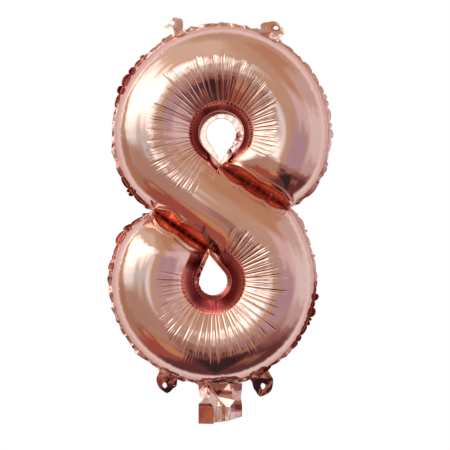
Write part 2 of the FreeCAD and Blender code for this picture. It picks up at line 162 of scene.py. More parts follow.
def blur(values, sigma):
    """Gaussian smoothing along the first axis, with the ends carried straight on."""
    reach = int(4 * sigma) + 1
    kernel = np.exp(-0.5 * (np.arange(-reach, reach + 1) / sigma) ** 2)
    kernel /= kernel.sum()
    flat = values.reshape(len(values), -1)
    before = 2 * flat[0] - flat[reach:0:-1]
    after = 2 * flat[-1] - flat[-2:-reach - 2:-1]
    padded = np.concatenate([before, flat, after])
    out = np.stack([np.convolve(padded[:, k], kernel, "valid") for k in range(flat.shape[1])], -1)
    return out.reshape(values.shape)


def wave_sum(rng, terms, low, high):
    """A smooth random function of one or two coordinates: a sum of plane waves."""
    k = rng.uniform(low, high, terms)
    phase = rng.uniform(0, 2 * math.pi, terms)
    turn = rng.uniform(0, 2 * math.pi, terms)

    def value(x, y=0.0):
        total = 0.0
        for i in range(terms):
            total = total + np.sin(k[i] * (x * math.cos(turn[i]) + y * math.sin(turn[i])) + phase[i])
        return total / math.sqrt(terms)

    return value


def creases(rng, count, spread, reach):
    """Sharp folds along random lines: a faceted height field about zero."""
    lines = [
        (rng.uniform(0, math.pi), rng.uniform(-spread, spread), rng.uniform(0.5, 1.0) * rng.choice([-1, 1]),
         rng.uniform(0.4, 1.0) * reach)
        for _ in range(count)
    ]

    def value(u, v):
        total = 0.0
        for turn, offset, height, width in lines:
            d = np.abs(u * math.cos(turn) + v * math.sin(turn) - offset)
            total = total + height * np.maximum(0.0, 1.0 - d / width)
        return total / math.sqrt(count)

    return value


def hole_edge(centre, radius, tip, tip_angle, angle):
    """A round hole's outline with a pointed tip, as points at the given angles about its centre."""
    tangent = math.degrees(math.acos(radius / tip))
    straight = np.cos(np.radians(np.maximum(0.0, tangent - apart(angle, tip_angle))))
    return centre + towards(angle) * (radius / straight)[..., None]


def loop_edge(centre, radius, angle):
    """The seam round a loop, a circle drawn in to the two notches, at the given angles."""
    reach = np.full(np.shape(angle), float(radius))
    for notch in (RIGHT_NOTCH, LEFT_NOTCH):
        pull = np.hypot(*(notch - centre)) - radius
        reach = reach + pull * bell(apart(angle, angle_of(notch, centre)) / 14.0)
    return centre + towards(angle) * reach[..., None]


upper_hole = partial(hole_edge, U, R_UPPER_HOLE, UPPER_TIP, UPPER_TIP_ANGLE)
lower_hole = partial(hole_edge, L, R_LOWER_HOLE, LOWER_TIP, LOWER_TIP_ANGLE)
upper_free = partial(hole_edge, U, UPPER_FREE, UPPER_FREE_TIP, UPPER_TIP_ANGLE)
lower_free = partial(hole_edge, L, LOWER_FREE, LOWER_FREE_TIP, LOWER_TIP_ANGLE)
upper_edge = partial(loop_edge, U, R_UPPER)
lower_edge = partial(loop_edge, L, R_LOWER)


def mix(a, b, t):
    return a + (b - a) * np.asarray(t)[..., None]


# ---- materials ----

def connect(tree, node, inputs):
    """Fills a node's inputs, by name or number, with values or with links from other nodes."""
    for name, value in inputs.items():
        if isinstance(value, bpy.types.NodeSocket):
            tree.links.new(value, node.inputs[name])
        else:
            node.inputs[name].default_value = value


def add(tree, kind, inputs, output=0, **settings):
    """Adds a shader node and returns one of its outputs."""
    node = tree.nodes.new("ShaderNode" + kind)
    for name, value in settings.items():
        setattr(node, name, value)
    connect(tree, node, inputs)
    return node.outputs[output]


def noise(tree, place, scale, detail=2.0, rough=0.5):
    inputs = {"Vector": place, "Scale": scale, "Detail": detail, "Roughness": rough}
    return add(tree, "TexNoise", inputs, "Fac")


def ramp(tree, value, low, high, a, b):
    """Maps a grey value between low and high to the range a to b."""
    limits = {"Value": value, "From Min": low, "From Max": high, "To Min": a, "To Max": b}
    return add(tree, "MapRange", limits, "Result")


def two_colours(tree, share, a, b):
    return add(tree, "Mix", {"Factor": share, "A": (*a, 1.0), "B": (*b, 1.0)}, "Result", data_type="RGBA")


def bump(tree, height, strength, distance, more=()):
    """A relief in the surface; more may hold the Normal of another relief to lay it over."""
    inputs = {"Height": height, "Strength": strength, "Distance": distance}
    return add(tree, "Bump", {**inputs, **dict(more)}, "Normal")


def new_material(name):
    """A material with its tree, its shader and the object coordinates for its textures."""
    material = bpy.data.materials.new(name)
    material.use_nodes = True
    tree = material.node_tree
    return material, tree, tree.nodes["Principled BSDF"], add(tree, "TexCoord", {}, "Object")


# Top of the scale of painted shade, past the 1 of plain painted shade: the darkest painted shade, given to the
# crumpled lumps of the flange.
DARKEST_PAINTED_SHADE = 1.25


def foil_material(name, light, dark, smooth_rough, dull_rough, grain, crinkle, metallic=1.0):
    """Metallised film: bright, faintly clouded, with a fine skin texture and tiny stretch marks, and with shade
    and reflection painted into its colour from a mesh attribute.
    """
    material, tree, shader, place = new_material(name)
    cloud = ramp(tree, noise(tree, place, 28.0, 3.0), 0.35, 0.68, 0.0, 1.0)
    tint = two_colours(tree, cloud, light, dark)
    # Painted light from the mesh attribute: 0 leaves the colour, 0.4 of the scale paints a warmer, brighter
    # reflection, 0.8 a maroon painted shade, and 1 the darkest painted shade.
    shade_paint_ramp = tree.nodes.new("ShaderNodeValToRGB")
    shade_paint_ramp.color_ramp.elements[0].color = (1.0, 1.0, 1.0, 1.0)
    shade_paint_ramp.color_ramp.elements[1].color = (0.33, 0.13, 0.18, 1.0)
    shade_paint_ramp.color_ramp.elements.new(0.5 / DARKEST_PAINTED_SHADE).color = (1.14, 1.04, 0.99, 1.0)
    shade_paint_ramp.color_ramp.elements.new(1.0 / DARKEST_PAINTED_SHADE).color = (0.50, 0.26, 0.32, 1.0)
    connect(tree, shade_paint_ramp, {"Fac": add(tree, "Attribute", {}, "Fac", attribute_name="painted_shading")})
    layers = {"Factor": 1.0, "A": tint, "B": shade_paint_ramp.outputs["Color"]}
    haze = noise(tree, place, 160.0, 4.0, 0.6)
    fine = bump(tree, noise(tree, place, 1500.0, 2.0), grain, 0.00002)
    broad = bump(tree, noise(tree, place, 210.0, 3.0), crinkle, 0.00012, {"Normal": fine})
    connect(tree, shader, {
        "Base Color": add(tree, "Mix", layers, "Result", data_type="RGBA", blend_type="MULTIPLY"),
        "Roughness": ramp(tree, haze, 0.3, 0.75, smooth_rough, dull_rough),
        "Metallic": metallic,
        "Specular Tint": (1.0, 0.93, 0.90, 1.0),
        "Normal": broad,
    })
    return material


def clear_film_material():
    material, tree, shader, place = new_material("clear_valve_film")
    haze = noise(tree, place, 300.0, 3.0)
    connect(tree, shader, {
        "Base Color": (0.92, 0.93, 0.94, 1.0),
        "Roughness": ramp(tree, haze, 0.3, 0.7, 0.12, 0.3),
        "Transmission Weight": 0.7,
        "IOR": 1.51,
        "Normal": bump(tree, haze, 0.25, 0.0001),
    })
    return material


def floor_material():
    material, tree, shader, place = new_material("pale_floor")
    share = ramp(tree, noise(tree, place, 6.0, 3.0), 0.3, 0.7, 0.0, 1.0)
    tint = two_colours(tree, share, (0.86, 0.86, 0.85), (0.82, 0.82, 0.81))
    connect(tree, shader, {"Base Color": tint, "Roughness": 0.9})
    return material


FOIL = foil_material("rose_gold_foil", (0.83, 0.54, 0.465), (0.79, 0.495, 0.42), 0.07, 0.12, 0.10, 0.10)
SEALED = foil_material("rose_gold_sealed", (0.78, 0.49, 0.42), (0.70, 0.41, 0.35), 0.14, 0.24, 0.25, 0.45)
INSIDE = foil_material(
    "silver_foil_inside", (0.80, 0.78, 0.77), (0.70, 0.67, 0.66), 0.16, 0.26, 0.15, 0.35, metallic=0.6)
CLEAR = clear_film_material()


# ---- meshes ----

def grid_mesh(name, points, material, loop_u=False, loop_v=False, flip=False, painted_shading=None):
    """A quad mesh through a grid of points (columns, rows, 3) in millimetres.

    The last argument gives, from 0 to the top of the scale, how much light or shade is painted into the colour
    at each point: painted shade, with a warmer painted reflection at middling values.
    """
    nu, nv = points.shape[:2]
    u = np.arange(nu if loop_u else nu - 1)
    v = np.arange(nv if loop_v else nv - 1)
    uu, vv = [a.ravel() for a in np.meshgrid(u, v, indexing="ij")]
    u2, v2 = (uu + 1) % nu, (vv + 1) % nv
    quads = np.stack([uu * nv + vv, u2 * nv + vv, u2 * nv + v2, uu * nv + v2], -1)
    if flip:
        quads = quads[:, ::-1]
    mesh = bpy.data.meshes.new(name)
    mesh.vertices.add(nu * nv)
    mesh.vertices.foreach_set("co", (points.reshape(-1) * MM).astype(np.float32))
    mesh.loops.add(quads.size)
    mesh.loops.foreach_set("vertex_index", quads.ravel().astype(np.int32))
    mesh.polygons.add(len(quads))
    mesh.polygons.foreach_set("loop_start", np.arange(0, quads.size, 4, dtype=np.int32))
    mesh.polygons.foreach_set("use_smooth", np.ones(len(quads), dtype=bool))
    mesh.update(calc_edges=True)
    mesh.validate()
    mesh.materials.append(material)
    if painted_shading is not None:
        layer_values = mesh.attributes.new("painted_shading", "FLOAT", "POINT")
        shares = np.broadcast_to(painted_shading, points.shape[:2]).ravel() / DARKEST_PAINTED_SHADE
        layer_values.data.foreach_set("value", shares.astype(np.float32))
    piece = bpy.data.objects.new(name, mesh)
    bpy.context.scene.collection.objects.link(piece)
    return piece


FILM = 0.12


def film_sheet(piece, inside=None):
    """Gives a small piece the thickness of a film sheet, and another finish inside."""
    solid = piece.modifiers.new("film", "SOLIDIFY")
    solid.thickness = FILM * MM
    solid.offset = 0.0
    solid.use_rim = True
    if inside is not None:
        piece.data.materials.append(inside)
        solid.material_offset = 1
    return piece


def on_envelope(piece, node):
    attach(piece, "envelope")
    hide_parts(node)


def surface_normals(points):
    du = np.gradient(points, axis=0)
    dv = np.gradient(points, axis=1)
    n = np.cross(du, dv)
    return n / np.maximum(np.linalg.norm(n, axis=-1, keepdims=True), 1e-9)


# ---- the S-shaped tube: cross-lines from one weld to the other ----

UPPER_POINT = U + towards(UPPER_TIP_ANGLE) * UPPER_TIP
LOWER_POINT = L + towards(LOWER_TIP_ANGLE) * LOWER_TIP


def upward_normal(start, end):
    """Unit vector square to a weld, on its upper side; start is the weld's left-hand end."""
    run = end - start
    return np.array([-run[1], run[0]]) / np.hypot(*run)


right_normal = upward_normal(UPPER_POINT, RIGHT_NOTCH)
left_normal = upward_normal(LEFT_NOTCH, LOWER_POINT)
END_LINES, LOOP_LINES, DIAGONAL_LINES = 420, 720, 240
UPPER_TURN, LOWER_TURN = 25.0, -155.0
BUNCHED = 1.6


def tube_lines():
    """Both ends of each cross-line, from the upper weld round the upper loop, down the diagonal and on.

    In a loop a line runs from its outer seam to its hole. Towards a weld, past the turn angles, the
    lines bunch up and lean over until the last one lies along the weld.
    """
    a, b = [], []
    notch = angle_of(RIGHT_NOTCH, U)
    share = (np.arange(END_LINES) / END_LINES) ** BUNCHED
    outer = notch + (UPPER_TURN - notch) * share
    lag = (UPPER_TIP_ANGLE - notch) * (1 - share) ** 2
    lift = right_normal * (WELD_STEP * (1 - share) ** 3)[:, None]
    a.append(upper_edge(outer) + lift)
    b.append(upper_hole(outer + lag) + lift)
    last = angle_of(LEFT_NOTCH, U) + 360.0
    angle = UPPER_TURN + (last - UPPER_TURN) * np.arange(LOOP_LINES) / LOOP_LINES
    a.append(upper_edge(angle))
    b.append(upper_hole(angle))
    step = np.arange(DIAGONAL_LINES) / DIAGONAL_LINES
    left_start, left_end = LEFT_NOTCH + left_normal * WELD_STEP, LOWER_POINT + left_normal * WELD_STEP
    right_start, right_end = UPPER_POINT - right_normal * WELD_STEP, RIGHT_NOTCH - right_normal * WELD_STEP
    a.append(mix(left_start, left_end, step / 2))
    b.append(upper_hole(last + (UPPER_TIP_ANGLE + 360.0 - last) * step))
    a.append(mix(left_start, left_end, 0.5 + step / 2))
    b.append(mix(right_start, right_end, step / 2))
    first = angle_of(RIGHT_NOTCH, L)
    a.append(lower_hole(LOWER_TIP_ANGLE + (first - LOWER_TIP_ANGLE) * step))
    b.append(mix(right_start, right_end, 0.5 + step / 2))
    angle = first + (LOWER_TURN - first) * np.arange(LOOP_LINES) / LOOP_LINES
    a.append(lower_hole(angle))
    b.append(lower_edge(angle))
    notch = angle_of(LEFT_NOTCH, L) - 360.0
    share = 1 - (1 - np.arange(END_LINES + 1) / END_LINES) ** BUNCHED
    outer = LOWER_TURN + (notch - LOWER_TURN) * share
    lead = (LOWER_TIP_ANGLE - 360.0 - notch) * share ** 2
    drop = left_normal * (-WELD_STEP * share ** 3)[:, None]
    a.append(lower_hole(outer + lead) + drop)
    b.append(lower_edge(outer) + drop)
    return np.concatenate(a), np.concatenate(b)


COLUMNS, ROWS = 1400, 70
line_a, line_b = tube_lines()
run = np.concatenate([[0], np.cumsum(np.hypot(*np.diff((line_a + line_b) / 2, axis=0).T))])
TUBE = run[-1]
along = np.linspace(0, TUBE, COLUMNS)
line_a = np.stack([np.interp(along, run, line_a[:, k]) for k in (0, 1)], -1)
line_b = np.stack([np.interp(along, run, line_b[:, k]) for k in (0, 1)], -1)

turn = math.pi * np.linspace(0, 1, ROWS)
cos_t, sin_t = np.cos(turn), np.sin(turn)
middle = blur((line_a + line_b) / 2, 20)
half = blur((line_a - line_b) / 2, 20)
SHARE = along / TUBE
lean_out = CREST_SHIFT * (smooth(0.5, 0.34, SHARE) - smooth(0.5, 0.66, SHARE))
across = cos_t[None, :] + lean_out[:, None] * (1 - cos_t[None, :] ** 2)
base = middle[:, None] + half[:, None] * across[..., None]
near_a = (((1 + cos_t) / 2) ** 5)[None, :, None]
near_b = (((1 - cos_t) / 2) ** 5)[None, :, None]
flat = base + (line_a - middle - half)[:, None] * near_a + (line_b - middle + half)[:, None] * near_b


def segment_distance(points, start, end):
    """Distance from points to a segment, and how far along it each lies."""
    d = end - start
    length = np.hypot(*d)
    t = (points - start) @ (d / length)
    nearest = start + np.clip(t, 0, length)[..., None] * (d / length)
    return np.hypot(*np.moveaxis(points - nearest, -1, 0)), t


right_d, right_t = segment_distance(flat, UPPER_POINT, RIGHT_NOTCH)
left_d, left_t = segment_distance(flat, LEFT_NOTCH, LOWER_POINT)
closing = np.ones(flat.shape[:2])
for d, ends in ((right_d, SHARE < 0.3), (left_d, SHARE > 0.7)):
    near = np.clip((d - WELD_STEP) / END_LENGTH, 0, 1)
    shut = np.sqrt(np.maximum(0.0, 1 - (1 - near) ** 2))
    closing = np.where(ends[:, None], shut, closing)
swell = bell((2 * SHARE - 1) / 0.2)
depth = LOOP_DEPTH + 2.0 * swell


def round_rise(distance, reach):
    """Share of full height at a distance from a seam, for a section that swells over the given reach."""
    near = np.clip(distance / reach, 0.0, 1.0)
    return np.sqrt(np.maximum(1e-9, 1 - (1 - near) ** 2))


def valley(distance, panel, reach):
    """Turns the round foot of the film along a weld into a flat panel."""
    inside = np.maximum(distance, 0.02) / panel
    flatter = round_rise(panel, reach) * inside ** 0.96 / round_rise(np.maximum(distance, 0.02), reach)
    return np.where(inside < 1, flatter, 1.0)


def hole_wall(distance, reach, width, slope):
    """Turns the round foot of the film round a hole into a steep lip and an even slope above it."""
    q = np.maximum(distance, 0.02)
    top = round_rise(width, reach) * LOOP_DEPTH
    lip = round_rise(q, 0.7) ** 0.8
    wall = (top - slope * (width - q)) * lip / (round_rise(q, reach) * LOOP_DEPTH)
    return np.where(q < width, wall, 1.0)


def hole_distance(points, centre, radius, tip, tip_angle):
    """About how far points lie outside a hole's seam."""
    offset = points - centre
    angle = np.degrees(np.arctan2(offset[..., 1], offset[..., 0]))
    edge = np.hypot(*np.moveaxis(hole_edge(centre, radius, tip, tip_angle, angle) - centre, -1, 0))
    return (np.hypot(offset[..., 0], offset[..., 1]) - edge) * radius / edge


def lens_marks(seed, length):
    marks = spaced(np.random.default_rng(seed), 0.0, length - 8.0, 30.0, 0.2)
    return marks * length / marks[-1]


def lens_panel(position, marks, seed):
    """Width of the lens-shaped panel at each position along a weld."""
    gap, share, _ = grooves(position, marks)
    widest = np.random.default_rng(seed).uniform(7.6, 9.2, len(marks))
    ends = smooth(-4.0, 16.0, position) * smooth(marks[-1] + 4.0, marks[-1] - 16.0, position)
    return (6.0 + (widest[gap] - 6.0) * np.sin(math.pi * share) ** 0.6) * (0.45 + 0.55 * ends)


def off_mark(share, width):
    """Distance to the nearer of the two marks at the ends of a gap."""
    return np.minimum(share, 1 - share) * width


def grooves(position, marks, drift=0.0):
    """Where each position lies between two neighbouring marks: gap number, share across it, gap width."""
    gap = np.clip(np.searchsorted(marks, position + drift) - 1, 0, len(marks) - 2)
    width = marks[gap + 1] - marks[gap]
    share = np.clip((position + drift - marks[gap]) / width, 0, 1)
    return gap, share, width


def spaced(rng, low, high, step, uneven):
    """Marks from low to high with uneven gaps."""
    marks = [low]
    while marks[-1] < high:
        marks.append(marks[-1] + step * (1 + rng.uniform(-uneven, uneven)))
    return np.array(marks)


IN_UPPER_END, IN_LOWER_END, IN_MIDDLE = SHARE < 0.3, SHARE > 0.7, (SHARE > 0.35) & (SHARE < 0.65)
RIGHT_LENGTH = np.hypot(*(RIGHT_NOTCH - UPPER_POINT))
LEFT_LENGTH = np.hypot(*(LOWER_POINT - LEFT_NOTCH))
VALLEYS = []
for columns, d, t, length, reach, seed in (
    (IN_UPPER_END, right_d, right_t, RIGHT_LENGTH, END_LENGTH, 5),
    (IN_MIDDLE, right_d, right_t, RIGHT_LENGTH, 40.0, 6),
    (IN_LOWER_END, left_d, left_t, LEFT_LENGTH, END_LENGTH, 7),
    (IN_MIDDLE, left_d, left_t, LEFT_LENGTH, 40.0, 8),
):
    panel = lens_panel(t, lens_marks(seed, length), seed + 20)
    off_weld = np.maximum(0.0, d - WELD_STEP)
    closing = np.where(columns[:, None], closing * valley(off_weld, panel, reach), closing)
    VALLEYS.append((columns, off_weld, t, length, panel))
upper_q = hole_distance(flat, U, R_UPPER_HOLE, UPPER_TIP, UPPER_TIP_ANGLE)
lower_q = hole_distance(flat, L, R_LOWER_HOLE, LOWER_TIP, LOWER_TIP_ANGLE)
off_right = smooth(3.0, 18.0, right_d)
off_left = smooth(3.0, 20.0, left_d)
# The two loops' parts of the tube overlap in the middle of the diagonal.
IN_UPPER_LOOP, IN_LOWER_LOOP = (SHARE < 0.56)[:, None], (SHARE > 0.44)[:, None]
for q, reach, width, slope, where in (
    (upper_q, 40.0, UPPER_WALL, UPPER_SLOPE, IN_UPPER_LOOP * off_right),
    (lower_q, 38.0, LOWER_WALL, LOWER_SLOPE, IN_LOWER_LOOP * off_left),
):
    closing = closing * (1 + (hole_wall(q, reach, width, slope) - 1) * where)
height = depth[:, None] * sin_t[None, :] * closing

# Painted shade, standing in for the shade the film casts on itself: most in the funnels of the holes, darkest
# below the lower hole, and along the welds; middling values paint a warmer reflection instead.
upper_hole_shade = (1 - 0.35 * smooth(3.5, 8.2, upper_q)) * (1 - smooth(8.2, 10.0, upper_q))
lower_hole_shade = (1 - 0.45 * smooth(4.0, 11.5, lower_q)) * (1 - smooth(12.8, 16.0, lower_q))
below = plateau((flat[..., 0] - L[0]) / 21.0) * smooth(L[1] - 6.0, L[1] - 18.0, flat[..., 1])
lower_hole_shade += (DARKEST_PAINTED_SHADE - lower_hole_shade) * below * (1 - smooth(7.5, 14.5, lower_q))
upper_hole_shade *= 0.3 + 0.7 * off_right
lower_hole_shade *= (0.3 + 0.7 * off_left) * (1 - 0.45 * smooth(L[1] + 16.0, L[1] + 28.0, flat[..., 1]))
PAINTED_SHADING = np.clip(upper_hole_shade * IN_UPPER_LOOP + lower_hole_shade * IN_LOWER_LOOP, 0.0, DARKEST_PAINTED_SHADE)
# Along each weld, painted shade in the crevice and over the lens-shaped panel.
for columns, off_weld, t, length, panel in VALLEYS:
    crevice_shade = 0.5 * (1 - smooth(panel - 1.0, panel, off_weld)) + 0.3 * (1 - smooth(0.4, 1.6, off_weld))
    PAINTED_SHADING = np.where(columns[:, None], np.maximum(PAINTED_SHADING, crevice_shade), PAINTED_SHADING)
tube = np.stack([flat[..., 0], height, flat[..., 1]], -1)
tube_normal = surface_normals(tube)
if tube_normal[COLUMNS // 2, ROWS // 2, 1] < 0:
    tube_normal = -tube_normal


# ---- what the heat seals do to the film: gathered pleats, puckers and ripples ----

# Average distance between neighbours: in degrees round a hole, in millimetres along welds and outline.
PLEAT_DEGREES, WALL_DEGREES, FINE_DEGREES = 6.6, 5.0, 2.2
PUCKERS, SCALLOPS, FOLDS, LUMPS = 6.0, 10.0, 5.0, 8.5


def pleats(rng, theta, radius, span, seam, reach, wall):
    """Radial gathers round a hole, in millimetres of relief.

    theta and radius say where each point lies about the hole's centre. The gathers fill the span of
    angles, from the funnel's wall above the seam out to reach.
    """
    marks = spaced(rng, *span, PLEAT_DEGREES, 0.36)
    count = len(marks)
    bend = rng.normal(0, 0.8, count)
    gap, _, _ = grooves(theta, marks)
    lean = bend[gap] * (radius - seam) / 45.0
    gap, share, width = grooves(theta, marks, lean)
    nearest = np.where(share < 0.5, gap, gap + 1)
    length = 1 + rng.normal(0, 0.045, count)
    cut = rng.uniform(0.45, 1.25, count)
    tilt = rng.normal(0, 1.0, count)
    puff = rng.uniform(0.5, 1.4, count)
    gap_mm = np.radians(width) * radius
    off = off_mark(share, gap_mm)
    past = radius - seam - wall
    end_groove = reach * length[nearest]
    end_gap = reach * length[gap]
    start = smooth(-2.6, 3.4, past)
    live_groove = start * (1 - smooth(end_groove - 5.0, end_groove, radius))
    live_gap = start * (1 - smooth(end_gap - 4.0, end_gap + 1.0, radius))
    side = np.where(share < 0.5, 1.0, -1.0)
    relief = -0.34 * cut[nearest] * live_groove * bell(off / 0.52)
    relief += 0.12 * cut[nearest] * live_groove * bell((off - 1.15) / 0.55) * (1 + 0.5 * side)
    relief += 0.020 * puff[gap] * live_gap * gap_mm * 4 * share * (1 - share)
    relief += 0.026 * tilt[gap] * live_gap * gap_mm * (share - 0.5) * smooth(0, 0.8, off)
    bead = bell((past - 1.4) / 2.2) + 0.6 * bell((past - 6.9) / 2.0)
    relief += 0.13 * bead * puff[gap] * np.sin(math.pi * share) ** 1.5 * start
    relief += 0.30 * bell(past - 0.6)
    wall_marks = spaced(rng, span[0] - 60, span[1] + 60, WALL_DEGREES, 0.5)
    wall_cut = rng.uniform(0.0, 1.0, len(wall_marks)) ** 2
    wall_gap, wall_share, wall_width = grooves(theta, wall_marks)
    wall_off = off_mark(wall_share, np.radians(wall_width) * radius)
    on_wall = smooth(seam, seam + 2.5, radius) * (1 - smooth(-1.6, 3.4, past))
    relief -= on_wall * 0.05 * wall_cut[wall_gap] * bell(wall_off / 0.7)
    rim = 0.16 * bell((radius - end_gap - 0.6) / 0.9)
    relief += rim * (0.3 + 0.5 * puff[gap]) * np.sin(math.pi * share) ** 0.4 * (radius > seam + 8)
    fine = spaced(rng, *span, FINE_DEGREES, 0.4)
    fine_gap, fine_share, fine_width = grooves(theta, fine, lean)
    fine_off = off_mark(fine_share, np.radians(fine_width) * radius)
    fine_on = rng.uniform(0, 1, len(fine)) < 0.5
    ribbed = hump(-14.0, -6.0, -1.0, 1.5, radius - end_gap)
    relief -= 0.10 * ribbed * fine_on[fine_gap] * bell(fine_off / 0.45)
    inside = hump(span[0], span[0] + 8, span[1] - 8, span[1], theta)
    return relief * inside


def weld_puckers(rng, distance, position, length, panel):
    """A bead along the outer edge of each lens-shaped panel beside a weld, with ribs square to it."""
    marks = spaced(rng, -4.0, length + 4.0, PUCKERS, 0.55)
    count = len(marks)
    gap, share, width = grooves(position, marks, rng.normal(0, 0.15) * distance)
    nearest = np.where(share < 0.5, gap, gap + 1)
    cut = rng.uniform(0.0, 1.0, count) ** 2
    off = off_mark(share, width)
    on_panel = hump(0.0, 1.5, panel - 0.5, panel + 2.5, distance)
    relief = -0.22 * on_panel * cut[nearest] * bell(off / 0.7)
    ribs = rng.uniform(0, 1, count)[gap] < 0.3
    relief += 0.05 * on_panel * ribs * np.sin(position * 2 * math.pi / 1.7)
    relief += 0.85 * bell(distance - panel)
    relief -= 0.22 * bell(distance - panel - 2.4)
    inside = hump(-3, 4, length - 4, length + 3, position)
    return relief * inside


scallop_rng = np.random.default_rng(41)
UPPER_START, UPPER_STOP = angle_of(RIGHT_NOTCH, U), angle_of(LEFT_NOTCH, U) + 360.0
LOWER_START, LOWER_STOP = angle_of(LEFT_NOTCH, L), angle_of(RIGHT_NOTCH, L) + 360.0


def scallop_marks(start, stop, radius):
    marks = spaced(scallop_rng, start, stop, math.degrees(SCALLOPS / radius), 0.40)
    return start + (marks - start) * (stop - start) / (marks[-1] - start)


UPPER_SCALLOPS = scallop_marks(UPPER_START, UPPER_STOP, R_UPPER)
LOWER_SCALLOPS = scallop_marks(LOWER_START, LOWER_STOP, R_LOWER)
UPPER_SWAY = scallop_rng.normal(0, 1.0, len(UPPER_SCALLOPS))
LOWER_SWAY = scallop_rng.normal(0, 1.0, len(LOWER_SCALLOPS))


def seam_ripple(theta, marks, sway):
    """How the outer seam itself moves: inwards between two scallops, and to and fro in depth."""
    gap, share, _ = grooves(theta, marks)
    dip = -0.25 * (1 - np.sin(math.pi * share) ** 0.7)
    ends = hump(marks[0], marks[0] + 6, marks[-1] - 6, marks[-1], theta)
    return dip * ends, 0.35 * sway[gap] * np.sin(math.pi * share) ** 2 * ends


def seam_relief(rng, theta, inside, marks):
    """Ripples that run in from the outer seam, one from each scallop boundary."""
    gap, share, width = grooves(theta, marks)
    reach = rng.uniform(6.0, 15.0, len(marks))
    cut = rng.uniform(0.0, 1.1, len(marks)) ** 1.5
    nearest = np.where(share < 0.5, gap, gap + 1)
    nearest = np.clip(nearest, 0, len(marks) - 1)
    off = off_mark(share, np.radians(width) * R_UPPER)
    live = hump(0.0, 1.5, reach[nearest] * 0.3, reach[nearest], inside)
    relief = -0.30 * cut[nearest] * live * bell(off)
    bulge = smooth(0.0, 1.5, inside) * np.exp(-inside / 7.0)
    return relief + 0.10 * bulge * np.sin(math.pi * share) ** 2


# The relief fades out at both seams of a cross-line.
edge_gap = np.minimum(sin_t / 0.12, 1.0)[None, :]


def warp(x, z):
    """How far the figure bends out of its plane round the upper hole, in depth."""
    dx, dz = x - U[0], z - U[1]
    near = 1 - smooth(R_UPPER_HOLE + 2.0, R_UPPER_HOLE + 34.0, np.hypot(dx, dz))
    return near * (0.11 * dz - 0.075 * dx)


def around(centre, lowest):
    """Angle of each point of the tube about a loop's centre, from lowest up, and distance from it."""
    across, up = np.moveaxis(flat - centre, -1, 0)
    angle = np.degrees(np.arctan2(up, across))
    angle = np.where(angle < lowest, angle + 360, angle)
    angle = np.where(angle > lowest + 360, angle - 360, angle)
    return angle, np.hypot(across, up)


# How far from a loop's centre its gathers reach, at a few angles.
UPPER_REACH = ([-40, 0, 45, 90, 150, 190, 215, 250], [48, 50, 60, 70, 67, 65, 72, 58])
LOWER_REACH = ([-200, -170, -120, -90, -40, 0, 40, 75], [50, 53, 68, 74, 72, 64, 60, 52])


def film_points(seed, side):
    """One film: the inflated tube with its relief; side is -1 for the front and 1 for the back."""
    rng = np.random.default_rng(seed)
    about_u, r_u = around(U, -62.0)
    about_l, r_l = around(L, -242.0)
    relief = 0.0
    for theta, radius, span, seam, reach, wall, where in (
        (about_u, r_u, (-34.0, 250.0), R_UPPER_HOLE, UPPER_REACH, UPPER_WALL, IN_UPPER_LOOP),
        (about_l, r_l, (-198.0, 74.0), R_LOWER_HOLE, LOWER_REACH, LOWER_WALL, IN_LOWER_LOOP),
    ):
        gathers = pleats(rng, theta, radius, span, seam, np.interp(theta, *reach), wall)
        relief = relief + np.where(where, gathers, 0.0)
    for columns, off_weld, t, length, panel in VALLEYS:
        puckers = weld_puckers(rng, off_weld, t, length, panel)
        relief += np.where(columns[:, None], puckers, 0.0)
    undulation = wave_sum(rng, 7, 0.02, 0.06)
    relief += 0.35 * undulation(flat[..., 0], flat[..., 1])
    relief *= edge_gap * smooth(0.0, 4.0, np.minimum(along, TUBE - along))[:, None]
    points = tube + tube_normal * relief[..., None]
    for mask, theta, inside, marks, sway in (
        (SHARE < 0.5, about_u, R_UPPER - r_u, UPPER_SCALLOPS, UPPER_SWAY),
        (SHARE >= 0.5, about_l + 360.0, R_LOWER - r_l, LOWER_SCALLOPS, LOWER_SWAY),
    ):
        on_outside = 1 - smooth(22.0, 38.0, inside)
        on_outside = on_outside * mask[:, None] * (theta > marks[0]) * (theta < marks[-1])
        inner = np.maximum(0.0, inside)
        points += tube_normal * (seam_relief(rng, theta, inner, marks) * on_outside * edge_gap)[..., None]
        inwards, sideways = seam_ripple(theta, marks, sway)
        fade = np.exp(-inner / 3.0) * on_outside
        out = towards(theta)
        points[..., 0] += out[..., 0] * inwards * fade
        points[..., 2] += out[..., 1] * inwards * fade
        points[..., 1] += side * sideways * fade
    points[..., 1] *= side
    points[..., 1] += warp(points[..., 0], points[..., 2])
    return points


for name, node, seed, side in (("film_front", "front_film", 11, -1), ("film_back", "back_film", 29, 1)):
    piece = grid_mesh(name, film_points(seed, side), FOIL, flip=side > 0, painted_shading=PAINTED_SHADING)
    on_envelope(piece, node)


# ---- the sealed margin round the outline ----

# Where the flange is drawn up into lumps: direction, spread and which way they turn (-1 to the front). Lumps
# turned to the front are also painted with the darkest shade.
UPPER_CRUMPLES = ((151, 17, -1), (212, 14, -1), (14, 36, 0.45))
LOWER_CRUMPLES = ((153, 20, -1), (341, 22, -1), (300, 10, -1), (25, 16, 0.45))


